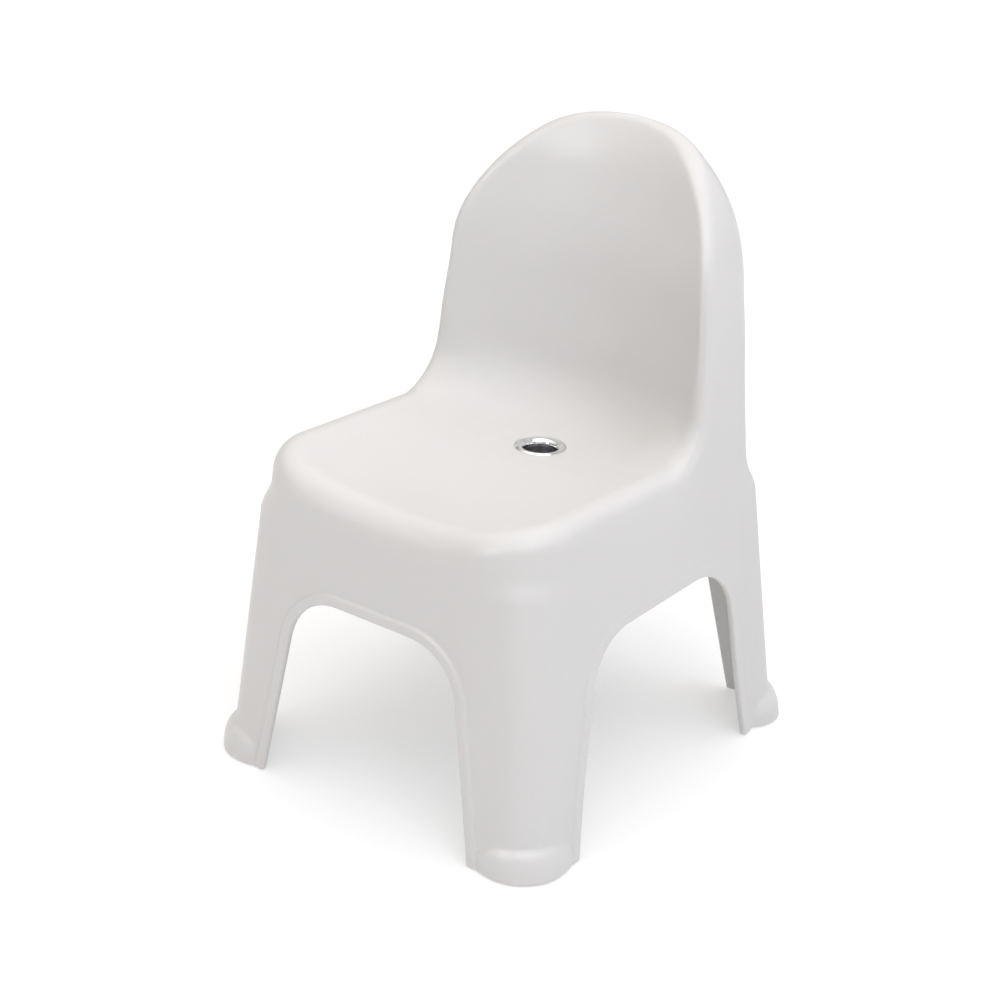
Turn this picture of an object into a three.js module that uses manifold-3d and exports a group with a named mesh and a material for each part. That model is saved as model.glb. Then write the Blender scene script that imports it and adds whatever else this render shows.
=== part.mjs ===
// A toddler's one-piece moulded chair: hollow shell with four legs, a chromed drain ring in the
// seat with its retainer underneath, and a soft pad pressed up into each toe.
// Millimetres, +Z up, the front faces -Y, the origin is on the floor under the middle.
import * as THREE from 'three';
import { LoftGeometry } from 'three/addons/geometries/LoftGeometry.js';
import { mergeVertices } from 'three/addons/utils/BufferGeometryUtils.js';
import Module from 'manifold-3d';

// ---- Driving dimensions ----
const wall = 2.8; // shell wall
const padProud = 1; // the pads stand this far below the shell
const seatHeight = 185; // middle of the seat
const seatHalfWidth = 106; // at seat height
const sideDraft = 0.097; // how far a side wall leans out per mm down
const sideTaper = 0.115; // how far the back narrows per mm up
const frontWallY = -123.1; // at seat height
const frontDraft = 0.077;
const rearWallY = 116.3; // at seat height
const rearDraft = 0.1;
const frontCornerR = 44; // vertical corners, seen from above
const rearCornerR = 31.5;
const archCornerR = 20; // the same corner where it runs over the top of the back
const seatEdgeR = 17.7;
const backEdgeR = 6;
const backEdgeBlend = 62; // height over which the seat edge's radius becomes the back edge's
const seatDish = 17.7; // rise of the seat from its middle to its sides
const seatSlope = 0.04; // fall of the seat towards the back
const backFootY = 74.4; // front face of the back, at seat height, in the middle
const backLean = 0.125;
const backHollow = 41; // how far the back's face curves forward at its sides
const backFilletR = 22.5; // between the seat and the back
const archStart = 288; // the back's straight sides end here
const archTop = 381;
const archPower = 1.9; // near 2, an ellipse
const archThickness = 15;

// Raised corner of each leg, with its toe
const columnProud = 4;
const columnTop = 175;
const columnReach = 31.4; // along each wall from the corner
const toeProud = 5.2;
const toeTop = 24;
const toeReach = 22;
const edgeBlend = 8;

// Openings between the legs
const frontOpening = { half: 81.4, taper: 0.203, top: 124.8, r: 35.7, middle: 0 };
const rearOpening = { half: 84, taper: 0.203, top: 124.8, r: 35.7, middle: 0 };
const sideOpening = { half: 91.8, taper: 0.195, top: 125.4, r: 38.6, middle: 0.7 };
const lipWidth = 7;
const lipProud = 2;

// Drain ring, on an axis square to the seat
const drainY = 27.5;
const flangeR = 15.5;
const flangeThickness = 1.4;
const boreR = 10.2;
const barrelR = 11.8;
const barrelLength = 9;
const recessDepth = 0.8;
const gap = 0.3; // between touching pieces
const bossR = 19;
const bossThickness = 1.6; // extra wall under the recess
const retainerR = 17;
const retainerThickness = 1.5;

// Toe pads, each filling the hollow of a toe up to its shoulder
const padHeight = 16;
const padR = 9;
const padInside = 5; // from the toe's inner face to the middle of the pad

// ---- Outer form of the shell, as a field: negative inside, in mm ----
const { hypot, max, min, abs, sqrt, sin, cos, acos, atan, PI } = Math;
const clamp01 = (t) => min(max(t, 0), 1);
const lerp = (a, b, t) => a + (b - a) * t;
const smoothstep = (a, b, x) => {
  const t = clamp01((x - a) / (b - a));
  return t * t * (3 - 2 * t);
};
// Outer corner of two surfaces, rounded to r, and inner corner filled to r
const roundMax = (a, b, r) => min(max(a, b), -r) + hypot(max(a + r, 0), max(b + r, 0));
const roundMin = (a, b, r) => max(min(a, b), r) - hypot(max(r - a, 0), max(r - b, 0));

const below = (z) => max(seatHeight - z, 0);
const above = (z) => max(z - seatHeight, 0);
const rearLean = (rearWallY - backFootY - archThickness) / (archTop - seatHeight) - backLean;
const halfWidth = (z) =>
  seatHalfWidth + sideDraft * below(z) - sideTaper * min(above(z), archStart - seatHeight);
const frontY = (z) => frontWallY - frontDraft * below(z);
const rearY = (z) => rearWallY + rearDraft * below(z) - rearLean * above(z);
const archHalfWidth = halfWidth(archStart);
const archRise = archTop - archStart;
const seatZ = (x, y) => seatHeight + seatDish * (x / seatHalfWidth) ** 2 - seatSlope * y;
const backY = (x, z) =>
  backFootY + backLean * (z - seatHeight) - backHollow * (x / seatHalfWidth) ** 2;
const backSlant = sqrt(1 + backLean ** 2);

function sideDistance(x, z) {
  if (z <= archStart) return abs(x) - halfWidth(z);
  const a = max(abs(x), 1e-6) / archHalfWidth;
  const b = (z - archStart) / archRise;
  const e = (a ** archPower + b ** archPower) ** (1 / archPower);
  const steepness = hypot(a ** (archPower - 1) / archHalfWidth, b ** (archPower - 1) / archRise);
  return (e - 1) / max(e ** (1 - archPower) * steepness, 1e-4);
}

function field(x, y, z) {
  const rearR = lerp(rearCornerR, archCornerR, smoothstep(seatHeight + 31, archStart + 51, z));
  let walls = roundMax(sideDistance(x, z), frontY(z) - y, frontCornerR);
  walls = roundMax(walls, y - rearY(z), rearR);
  const fromSide = halfWidth(z) - abs(x);
  const fromEnd = y < 0 ? y - frontY(z) : rearY(z) - y;
  const fromCorner = max(fromSide, fromEnd);
  const onColumn = 1 - smoothstep(columnReach, columnReach + edgeBlend, fromCorner);
  const onToe = 1 - smoothstep(toeReach, toeReach + edgeBlend, fromCorner);
  walls -= columnProud * onColumn * (1 - smoothstep(columnTop - 14, columnTop + 6, z));
  walls -= toeProud * onToe * (1 - smoothstep(toeTop - 5, toeTop + 3, z));
  const top = roundMin(z - seatZ(x, y), (backY(x, z) - y) / backSlant, backFilletR);
  return roundMax(walls, top, lerp(seatEdgeR, backEdgeR, clamp01(above(z) / backEdgeBlend)));
}

// Moves a point square to the form until it lies `inset` inside it
function snap(p, inset, level) {
  const h = 0.05;
  for (let i = 0; i < 12; i++) {
    const f = field(p.x, p.y, p.z) + inset;
    const g = new THREE.Vector3(
      field(p.x + h, p.y, p.z) - field(p.x - h, p.y, p.z),
      field(p.x, p.y + h, p.z) - field(p.x, p.y - h, p.z),
      level ? 0 : field(p.x, p.y, p.z + h) - field(p.x, p.y, p.z - h)
    ).divideScalar(2 * h);
    p.addScaledVector(g, -f / max(g.lengthSq(), 0.2));
  }
  return p;
}

// ---- Lines that run from the floor up the walls, over the rim and in to the drain ----
// Half the walls' outline at one height. s runs from the middle of the front, 0, through the
// corner between 1 and 2, the side, and the corner between 3 and 4, to the middle of the rear, 5.
function outline(s, z) {
  const w = halfWidth(z);
  const f = frontY(z);
  const r = rearY(z);
  const turn = (s % 1) * (PI / 2);
  if (s < 1) return [lerp(0, w - frontCornerR, s), f];
  if (s < 2) {
    return [w - frontCornerR * (1 - sin(turn)), f + frontCornerR * (1 - cos(turn))];
  }
  if (s < 3) return [w, lerp(f + frontCornerR, r - rearCornerR, s - 2)];
  if (s < 4) return [w - rearCornerR * (1 - cos(turn)), r - rearCornerR * (1 - sin(turn))];
  return [lerp(w - rearCornerR, 0, s - 4), r];
}

// The rim's corner between seat and back, in the plane of a side wall
const rimJoinY = backY(seatHalfWidth, seatHeight + seatDish);
const rimJoinZ = seatZ(seatHalfWidth, rimJoinY);
const backAngle = PI / 2 - atan(backLean);

// Stations along the rim: s on the outline below, the rim's point, and the angle that the
// lines leave it at in the side wall, from straight down, 0, to straight back.
const stations = [];
for (const s of [0, 0.33, 0.67, 0.93, 1.07, 1.19, 1.33, 1.44, 1.56, 1.67, 1.81, 1.93]) {
  const [x, y] = outline(s, seatHeight);
  stations.push({ s, x, y, z: seatZ(x, y), angle: 0 });
}
const filletReach = backFilletR * Math.tan(backAngle / 2);
const sideStartY = frontWallY + frontCornerR;
for (let i = 0; i < 4; i++) {
  const y = lerp(sideStartY, rimJoinY - filletReach, i / 4);
  const s = 2.07 + 0.13 * i;
  stations.push({ s, x: seatHalfWidth, y, z: seatZ(seatHalfWidth, y), angle: 0 });
}
const filletS = [2.6, 2.68, 2.78, 2.9, 2.98];
const filletSteps = filletS.length - 1;
for (let i = 0; i <= filletSteps; i++) {
  const angle = (backAngle * i) / filletSteps;
  const y = rimJoinY - filletReach + backFilletR * sin(angle);
  const z = rimJoinZ + backFilletR * (1 - cos(angle));
  stations.push({ s: filletS[i], x: halfWidth(z), y, z, angle });
}
const backFirstZ = rimJoinZ + filletReach * cos(atan(backLean));
for (let i = 1; i <= 3; i++) {
  const z = lerp(backFirstZ, archStart, i / 3);
  const x = halfWidth(z);
  stations.push({ s: 2.98 + 0.065 * i, x, y: backY(x, z), z, angle: backAngle });
}
const archSteps = 9;
for (let i = 1; i <= archSteps; i++) {
  const turn = ((i / archSteps) * PI) / 2;
  const x = archHalfWidth * max(cos(turn), 0) ** (2 / archPower);
  const z = archStart + archRise * sin(turn) ** (2 / archPower);
  const reach = rearCornerR / halfWidth(0);
  const across = x / archHalfWidth; // share of the half width, kept down the rear wall
  const s =
    across > 1 - reach
      ? 3 + acos(1 - (1 - across) / reach) / (PI / 2)
      : 4 + (1 - reach - across) / (1 - reach);
  stations.push({ s, x, y: backY(x, z), z, angle: PI / 2 });
}

// Where a station's line leaves the rim's band: on the side wall, or round the back's rear edge
const bandFoot = 165;
function bandEnd({ s, x, y, z, angle }) {
  if (s < 2) {
    const [bx, by] = outline(s, bandFoot);
    return new THREE.Vector3(bx, by, bandFoot);
  }
  const down = (z - bandFoot) / max(cos(angle), 1e-6);
  const back = (outline(s, z)[1] - y) / max(sin(angle), 1e-6);
  const reach = (down ** -3 + back ** -3) ** (-1 / 3);
  return new THREE.Vector3(x, y + reach * sin(angle), z - reach * cos(angle));
}

// The seat and the face of the back laid out flat: x across, and l along, from the front edge
// (0) to where they meet (1), then up the back in the same unit.
const layoutLength = backFootY - frontWallY;
const seatEndY = (x) => backY(x, seatHeight);
const seatEndZ = (x) => seatZ(x, seatEndY(x));
function toLayout({ x, y, z, angle }) {
  const onBack = angle > backAngle / 2;
  if (onBack) return [x, 1 + (z - seatEndZ(x)) / layoutLength];
  return [x, (y - frontWallY) / (seatEndY(x) - frontWallY)];
}
function fromLayout(x, l) {
  if (l <= 1) {
    const y = lerp(frontWallY, seatEndY(x), l);
    return new THREE.Vector3(x, y, seatZ(x, y));
  }
  const z = seatEndZ(x) + (l - 1) * layoutLength;
  return new THREE.Vector3(x, backY(x, z), z);
}
const drainLayout = (drainY - frontWallY) / layoutLength;

// Rows: levels up to the belt, two more up to the rim's band, the band, and in to the drain
const beltZ = 150;
const shoulderZ = 188;
const levels = [0, toeTop - 5, toeTop + 3, 95, beltZ];
const bandSteps = [1, 0.5, 0.17];
const topSteps = [0.95, 0.88, 0.77, 0.66, 0.56, 0.48, 0.41, 0.35, 0.29, 0.24, 0.19];

// The last two rings are round the drain's middle, inside the hole, which cuts them away
const plugRadii = [11, 5];
const plugRise = 4;

// One station's line, from `floor` up to the drain, lying `inset` inside the form
function line(station, inset, floor) {
  const points = [];
  for (const level of levels) {
    const [x, y] = outline(station.s, level);
    points.push(snap(new THREE.Vector3(x, y, level), inset, true));
  }
  points[0].z = floor;
  const rim = new THREE.Vector3(station.x, station.y, station.z);
  const end = bandEnd(station);
  const [bx, by] = outline(station.s, beltZ);
  const share = min(0.5, (shoulderZ - beltZ) / (end.z - beltZ));
  for (const t of [share, lerp(share, 1, 0.88)]) {
    points.push(snap(new THREE.Vector3(bx, by, beltZ).lerp(end, t), inset, false));
  }
  for (const t of bandSteps) points.push(snap(rim.clone().lerp(end, t), inset, false));
  points.push(snap(rim.clone(), inset, false));
  const [x, l] = toLayout(station);
  const reach = hypot(x, (l - drainLayout) * layoutLength);
  for (const t of [...topSteps, ...plugRadii.map((r) => r / reach)]) {
    const guide = fromLayout(x * t, lerp(drainLayout, l, t));
    points.push(snap(guide, inset, false));
  }
  points[points.length - 1].z += plugRise;
  return points;
}

function skin(inset, floor) {
  const half = stations.map((station) => line(station, inset, floor));
  const mirrored = half.slice(1, -1).reverse();
  const flip = (p) => new THREE.Vector3(-p.x, p.y, p.z);
  const lines = [...half, ...mirrored.map((points) => points.map(flip))];
  for (const p of half[0]) p.x = 0;
  for (const p of half[half.length - 1]) p.x = 0;
  const rings = half[0].map((_, row) => lines.map((points) => points[row]));
  return new LoftGeometry(rings, { closed: true, capStart: true, capEnd: true });
}

// ---- Solids ----
const wasm = await Module();
wasm.setup();

function solid(geometry) {
  const bare = new THREE.BufferGeometry();
  bare.setAttribute('position', geometry.attributes.position);
  bare.setIndex(geometry.index);
  const merged = mergeVertices(bare, 1e-4);
  const vertProperties = new Float32Array(merged.attributes.position.array);
  const triVerts = new Uint32Array(merged.index.array);
  return new wasm.Manifold(new wasm.Mesh({ numProp: 3, vertProperties, triVerts }));
}

function geometryOf(body) {
  const { vertProperties, triVerts } = body.getMesh();
  const geometry = new THREE.BufferGeometry();
  geometry.setAttribute('position', new THREE.BufferAttribute(vertProperties, 3));
  geometry.setIndex(new THREE.BufferAttribute(triVerts, 1));
  return geometry;
}

// An opening's outline, grown by `grow`: straight sides that close upwards, and round top corners
function openingShape({ half, taper, top, r, middle }, grow) {
  const under = -20;
  const tilt = atan(taper);
  const width = (z) => half - taper * z + grow / cos(tilt);
  const peak = top + grow;
  const radius = r + grow;
  const cz = peak - radius;
  const cx = width(cz) - radius / cos(tilt);
  const shape = new THREE.Shape();
  shape.moveTo(middle - width(under), under);
  shape.lineTo(middle + width(under), under);
  shape.lineTo(middle + cx + radius * cos(tilt), cz + radius * sin(tilt));
  shape.absarc(middle + cx, cz, radius, tilt, PI / 2, false);
  shape.lineTo(middle - cx, peak);
  shape.absarc(middle - cx, cz, radius, PI / 2, PI - tilt, false);
  shape.closePath();
  return shape;
}

// An opening's prism: across the shell for the sides, or through one end wall
const archSegments = 7;
function prism(opening, grow, from, to, sideways) {
  const shape = openingShape(opening, grow);
  const geometry = new THREE.ExtrudeGeometry(shape, {
    depth: to - from,
    curveSegments: archSegments,
    bevelEnabled: false,
  });
  geometry.rotateX(PI / 2);
  geometry.translate(0, to, 0);
  if (sideways) geometry.rotateZ(PI / 2);
  return solid(geometry);
}
const reach = 200;
const openings = (grow) =>
  prism(frontOpening, grow, -reach, 0, false)
    .add(prism(rearOpening, grow, 0, reach, false))
    .add(prism(sideOpening, grow, -reach, reach, true));

const drainTilt = -atan(seatSlope);
const drainZ = seatZ(0, drainY);
function onDrainAxis(geometry) {
  geometry.rotateX(drainTilt);
  geometry.translate(0, drainY, drainZ);
  return geometry;
}
// A closed ring turned about +Z, from corners given as [radius, height]
function turned(corners, segments) {
  const points = [...corners, corners[0]].map(([r, h]) => new THREE.Vector2(r, h));
  return new THREE.LatheGeometry(points, segments).rotateX(PI / 2);
}
const drainSegments = 40;
function drainCylinder(radius, bottom, top) {
  const geometry = new THREE.CylinderGeometry(radius, radius, top - bottom, drainSegments);
  geometry.rotateX(PI / 2);
  geometry.translate(0, 0, (top + bottom) / 2);
  return solid(onDrainAxis(geometry));
}

const shellFloor = padProud;
const outer = skin(0, 0);
const core = skin(wall, -10);
const lips = solid(skin(-lipProud, 0)).intersect(openings(lipWidth));
const boss = drainCylinder(bossR, -wall - bossThickness, -wall + 1);
const recess = drainCylinder(flangeR + gap, -recessDepth, 10);
const drainHole = drainCylinder(barrelR + gap, -20, 20);
const floorCut = solid(new THREE.BoxGeometry(500, 500, 20).translate(0, 0, shellFloor - 10));
const shell = solid(outer)
  .add(lips)
  .subtract(solid(core))
  .add(boss)
  .subtract(openings(0))
  .subtract(recess)
  .subtract(drainHole)
  .subtract(floorCut);

// ---- Materials ----
const plastic = new THREE.MeshStandardMaterial({ color: 0xeceae6, roughness: 0.4 });
const chrome = new THREE.MeshStandardMaterial({ color: 0xd4d6d8, roughness: 0.12, metalness: 1 });
const steel = new THREE.MeshStandardMaterial({ color: 0xa9adb0, roughness: 0.4, metalness: 1 });
const rubber = new THREE.MeshStandardMaterial({ color: 0xd8d6d0, roughness: 0.8 });

const chair = new THREE.Group();
function add(name, geometry, material, parent) {
  const mesh = new THREE.Mesh(geometry, material);
  mesh.name = name;
  parent.add(mesh);
  return mesh;
}

add('moulded_shell', geometryOf(shell), plastic, chair);

// ---- Drain ring and its retainer, in the drain's own frame, 0 at the seat's surface ----
const drain = new THREE.Group();
drain.position.set(0, drainY, drainZ);
drain.rotation.x = drainTilt;
chair.add(drain);
const flangeBottom = gap - recessDepth;
const flangeTop = flangeBottom + flangeThickness;
const ringCorners = [
  [boreR, -barrelLength],
  [barrelR, -barrelLength],
  [barrelR, flangeBottom],
  [flangeR - 0.3, flangeBottom],
  [flangeR, flangeBottom + 0.5],
  [flangeR - 0.9, flangeTop - 0.2],
  [flangeR - 2.4, flangeTop],
  [boreR + 0.9, flangeTop - 0.15],
  [boreR, flangeTop - 0.9],
];
add('drain_ring', turned(ringCorners, drainSegments), chrome, drain);

const retainerTop = -wall - bossThickness - gap;
const retainerBore = barrelR + gap;
const retainerCorners = [
  [retainerBore, retainerTop - retainerThickness],
  [retainerR - 0.5, retainerTop - retainerThickness],
  [retainerR, retainerTop - retainerThickness + 0.5],
  [retainerR, retainerTop],
  [retainerBore, retainerTop],
];
add('ring_retainer', turned(retainerCorners, drainSegments), steel, drain);

// ---- Toe pads ----
const padFill = solid(skin(wall + gap, -10));
const padSegments = 28;
function pad(sideX, endY) {
  const geometry = new THREE.CylinderGeometry(padR, padR, padHeight, padSegments);
  geometry.rotateX(PI / 2);
  const cornerR = endY < 0 ? frontCornerR : rearCornerR;
  const wallY = endY < 0 ? frontY(0) : rearY(0);
  const inwards = cornerR - (cornerR + toeProud - wall - padInside) * Math.SQRT1_2;
  geometry.translate(sideX * (halfWidth(0) - inwards), wallY - endY * inwards, padHeight / 2);
  return geometryOf(solid(geometry).intersect(padFill));
}
for (const [end, endY] of [['front', -1], ['rear', 1]]) {
  for (const [side, sideX] of [['left', -1], ['right', 1]]) {
    add(`foot_pad_${end}_${side}`, pad(sideX, endY), rubber, chair);
  }
}

export default chair;
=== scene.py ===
import math

import bpy
import numpy as np
from mathutils import Matrix, Vector


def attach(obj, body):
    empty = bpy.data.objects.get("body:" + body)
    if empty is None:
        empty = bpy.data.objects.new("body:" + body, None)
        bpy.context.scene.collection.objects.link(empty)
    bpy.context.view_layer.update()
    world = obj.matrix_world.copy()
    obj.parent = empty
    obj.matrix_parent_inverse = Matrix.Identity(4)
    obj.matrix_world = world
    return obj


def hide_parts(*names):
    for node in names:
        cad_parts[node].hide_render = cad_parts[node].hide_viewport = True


# A toddler's chair: a one-piece moulded shell with a chromed drain ring in its seat. Lengths are in
# mm up to the materials. The front faces -Y and the floor is z = 0. A pair of numbers named _SPAN
# says where a value begins to change and where the change ends.
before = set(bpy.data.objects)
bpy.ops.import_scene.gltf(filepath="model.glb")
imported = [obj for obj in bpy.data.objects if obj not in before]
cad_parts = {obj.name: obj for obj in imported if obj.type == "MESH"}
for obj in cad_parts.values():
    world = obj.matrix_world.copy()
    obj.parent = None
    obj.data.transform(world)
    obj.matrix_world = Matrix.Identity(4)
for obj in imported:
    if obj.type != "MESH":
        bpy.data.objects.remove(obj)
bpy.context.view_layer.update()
MM = 0.001
EIGHTH = math.pi / 4  # of a full turn
TINY = 1e-6  # keeps divisions away from zero

# ---- The shell's form, as a field that is negative inside and grows by 1 for each mm ----
WALL = 2.8
FLOOR = 1.0  # the legs end this high, on their pads

# The seat, and the walls: where they stand at the seat's height, and how they lean below it
SEAT_HEIGHT, SEAT_HALF_WIDTH = 185.0, 106.0
SEAT_DISH, SEAT_SLOPE = 17.7, 0.04
FRONT_WALL, FRONT_DRAFT = -123.1, 0.077
REAR_WALL, REAR_DRAFT = 116.3, 0.1
SIDE_DRAFT, SIDE_TAPER = 0.097, 0.105  # below the seat and above it

# The back: its face leans and is hollow, and its outline ends in an arch
BACK_FOOT, BACK_LEAN, BACK_HOLLOW = 74.4, 0.125, 41.0
ARCH_START, ARCH_TOP, ARCH_POWER, ARCH_THICKNESS = 288.0, 381.0, 1.9, 15.0
ARCH_HALF = SEAT_HALF_WIDTH - SIDE_TAPER * (ARCH_START - SEAT_HEIGHT)
ARCH_RISE = ARCH_TOP - ARCH_START
REAR_LEAN = (REAR_WALL - BACK_FOOT - ARCH_THICKNESS) / (ARCH_TOP - SEAT_HEIGHT) - BACK_LEAN
BACK_ROLL, ROLL_START = 0.0045, 342.0  # above there the face rolls back with the height squared
SWAY = 5.2  # how far the back curves forward round one height, and then backward from another
SWAY_FORWARD_Z, SWAY_FORWARD_REACH = 304.0, 34.0
SWAY_BACKWARD_Z, SWAY_BACKWARD_REACH, SWAY_BACKWARD_SHARE, SWAY_LIMIT = 338.0, 36.0, 0.9, 1.3

# Roundings
FRONT_R, REAR_R, ARCH_R = 44.0, 31.5, 20.0  # the walls' corners, and the rear ones of the arch
REAR_R_SPAN = (SEAT_HEIGHT + 31, ARCH_START + 51)
SEAT_EDGE_R, BACK_EDGE_R, EDGE_BLEND = 17.7, 12.5, 62.0  # one becomes the other over this rise
TOP_ROLL, TOP_ROLL_SPAN = 1.0, (335, 375)
MIDDLE_FILLET, BACK_FILLET, FILLET_SPAN = 40.0, 22.5, (66, 104)
CREASE, CREASE_SPAN = 2.4, (222, 262)  # how deep the back's face is cut into its rounded rim
CREASE_R = 0.45  # the radius of that cut's edge, for each mm of its depth

# What stands out of the walls: a column on each corner, a toe at its foot, a lip round an opening
COLUMN_PROUD, COLUMN_TOP, COLUMN_DOME = 4.4, 162.0, 16.0
COLUMN_FLAT_FRONT, COLUMN_FLAT_REAR, COLUMN_FLANK = 5, 8, 21
TOE_PROUD, TOE_WIDTH, TOE_WIDTH_REAR, TOE_SHELF, TOE_TOP = 6.2, 29.0, 27.0, 6.5, 19.0
TOE_POWER, TOE_SOFT = 2.8, 0.004
LIP_PROUD, LIP_SPAN = 1.6, (5.5, 7.8)
SIDE_LIP_FADE, SIDE_LIP_SPAN = 0.75, (88, 118)
OPENING_EDGE_R, FOOT_EDGE_R = 1.25, 0.9


def lerp(a, b, t):
    """From a, where t is 0, to b, where t is 1."""
    return a + (b - a) * t


def smoothstep(a, b, x):
    """0 up to a, 1 from b on, and a smooth rise between them."""
    t = np.clip((x - a) / (b - a), 0, 1)
    return t * t * (3 - 2 * t)


def round_max(a, b, r):
    """The larger of two fields, rounded by r where they meet."""
    return np.minimum(np.maximum(a, b), -r) + np.hypot(np.maximum(a + r, 0), np.maximum(b + r, 0))


def round_min(a, b, r):
    """The smaller of two fields, rounded by r where they meet."""
    return np.maximum(np.minimum(a, b), r) - np.hypot(np.maximum(r - a, 0), np.maximum(r - b, 0))


def half_width(z):
    """Half the distance between the side walls."""
    up = np.clip(z - SEAT_HEIGHT, 0, ARCH_START - SEAT_HEIGHT)
    return SEAT_HALF_WIDTH + SIDE_DRAFT * np.maximum(SEAT_HEIGHT - z, 0) - SIDE_TAPER * up


def sway(z):
    """The back's own curve from the side: forward below the arch, backward at its top."""
    up = np.clip((z - SWAY_BACKWARD_Z) / SWAY_BACKWARD_REACH, 0, SWAY_LIMIT)
    forward = np.exp(-(((z - SWAY_FORWARD_Z) / SWAY_FORWARD_REACH) ** 2))
    return SWAY * (SWAY_BACKWARD_SHARE * up**2 - forward)


def front_y(z):
    """Where the front wall stands."""
    return FRONT_WALL - FRONT_DRAFT * np.maximum(SEAT_HEIGHT - z, 0)


def rear_y(z):
    """Where the rear wall stands, up to the top of the back."""
    down, up = np.maximum(SEAT_HEIGHT - z, 0), np.maximum(z - SEAT_HEIGHT, 0)
    return REAR_WALL + REAR_DRAFT * down - REAR_LEAN * up + sway(z)


def seat_z(x, y):
    """The height of the dished seat."""
    return SEAT_HEIGHT + SEAT_DISH * (x / SEAT_HALF_WIDTH) ** 2 - SEAT_SLOPE * y


def back_y(x, z):
    """Where the back's hollow face stands."""
    roll = BACK_ROLL * np.maximum(z - ROLL_START, 0) ** 2
    flat = BACK_FOOT + BACK_LEAN * (z - SEAT_HEIGHT) + roll + sway(z)
    return flat - BACK_HOLLOW * (x / SEAT_HALF_WIDTH) ** 2


def side_distance(x, z):
    """Distance from the side walls, and from the arch that they pass into."""
    a = np.maximum(np.abs(x), TINY) / ARCH_HALF
    b = np.maximum(z - ARCH_START, 0) / ARCH_RISE
    e = (a**ARCH_POWER + b**ARCH_POWER) ** (1 / ARCH_POWER)
    steep = np.hypot(a ** (ARCH_POWER - 1) / ARCH_HALF, b ** (ARCH_POWER - 1) / ARCH_RISE)
    arch = (e - 1) / np.maximum(e ** (1 - ARCH_POWER) * steep, TINY)
    return np.where(z > ARCH_START, arch, np.abs(x) - half_width(z))


def from_corner(x, y, z):
    """Distance along the walls from the middle of the nearest vertical corner: minus towards the
    front or rear, plus towards the side."""
    r = np.where(y < 0, FRONT_R, REAR_R)
    dx = np.abs(x) - half_width(z) + r
    dy = np.where(y < 0, front_y(z) + r - y, y - rear_y(z) + r)
    turn = np.arctan2(np.maximum(dx, 0), np.maximum(dy, 0))
    return r * (turn - EIGHTH) + np.minimum(dx, 0) - np.minimum(dy, 0)


def raised(x, y, z):
    """How far the leg's rounded column and its toe stand out of the walls."""
    away = np.abs(from_corner(x, y, z))
    flat = np.where(y < 0, COLUMN_FLAT_FRONT, COLUMN_FLAT_REAR)
    flank = np.clip((away - flat) / COLUMN_FLANK, 0, 1)
    dome = np.hypot(flank, np.clip((z - COLUMN_TOP) / COLUMN_DOME, 0, 1))
    column = COLUMN_PROUD * (1 - smoothstep(0, 1, dome))
    width = np.where(y < 0, TOE_WIDTH, TOE_WIDTH_REAR)
    shelf = (np.maximum(z - TOE_SHELF, 0) / (TOE_TOP - TOE_SHELF)) ** 2
    toe = 1 - (away / width) ** TOE_POWER - shelf
    toe = (toe + np.sqrt(toe * toe + TOE_SOFT)) / 2  # fades to nothing round the toe's outline
    return column + TOE_PROUD * np.sqrt(toe)


def field(p):
    """The shell's outer skin is where this is 0, and its inner skin where it is -WALL."""
    x, y, z = p[..., 0], p[..., 1], p[..., 2]
    rear_r = lerp(REAR_R, ARCH_R, smoothstep(*REAR_R_SPAN, z))
    walls = round_max(side_distance(x, z), front_y(z) - y, FRONT_R)
    walls = round_max(walls, y - rear_y(z), rear_r) - raised(x, y, z)
    slant = math.hypot(1, BACK_LEAN)
    fillet = lerp(MIDDLE_FILLET, BACK_FILLET, smoothstep(*FILLET_SPAN, np.abs(x)))
    top = round_min(z - seat_z(x, y), (back_y(x, z) - y) / slant, fillet)
    edge = lerp(SEAT_EDGE_R, BACK_EDGE_R, np.clip((z - SEAT_HEIGHT) / EDGE_BLEND, 0, 1))
    edge = edge + TOP_ROLL * smoothstep(*TOP_ROLL_SPAN, z)
    crease = CREASE * smoothstep(*CREASE_SPAN, z)
    return round_max(round_max(walls, top - crease, edge), top, CREASE_R * crease)


SNAP_STEPS, SNAP_REACH, SLOPE_STEP, LEAST_SLOPE = 14, 6, 0.04, 0.2


def snap(p, value, axes="xyz"):
    """Moves points along the field's slope, in these axes only, until the field is `value`."""
    p = np.array(p, float)
    for _ in range(SNAP_STEPS):
        slope = np.zeros(p.shape)
        for k, axis in enumerate("xyz"):
            if axis in axes:
                d = np.zeros(3)
                d[k] = SLOPE_STEP
                slope[..., k] = (field(p + d) - field(p - d)) / (2 * SLOPE_STEP)
        miss = field(p) - value
        move = slope * (-miss / np.maximum((slope * slope).sum(-1), LEAST_SLOPE))[..., None]
        size = np.linalg.norm(move, axis=-1, keepdims=True)
        p += move * np.minimum(1, SNAP_REACH / np.maximum(size, TINY))
    return p


# ---- Openings between the legs: straight sides that close upwards, round top corners ----
OPENINGS = {
    "front": dict(half=79.2, taper=0.1755, top=124.8, r=35.7, middle=0.0),
    "side": dict(half=90.3, taper=0.178, top=125.4, r=38.6, middle=0.7, shift=3.0),
    "rear": dict(half=84.0, taper=0.203, top=124.8, r=35.7, middle=0.0),
}
SHIFT_SPAN = (30, 110)  # the heights over which an opening's middle moves by its shift
STRIP = 10.0  # width of the strip of mesh that follows an opening's edge
OUTSIDE = 3  # a first guess of a point of a wall starts this far outside it


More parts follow.
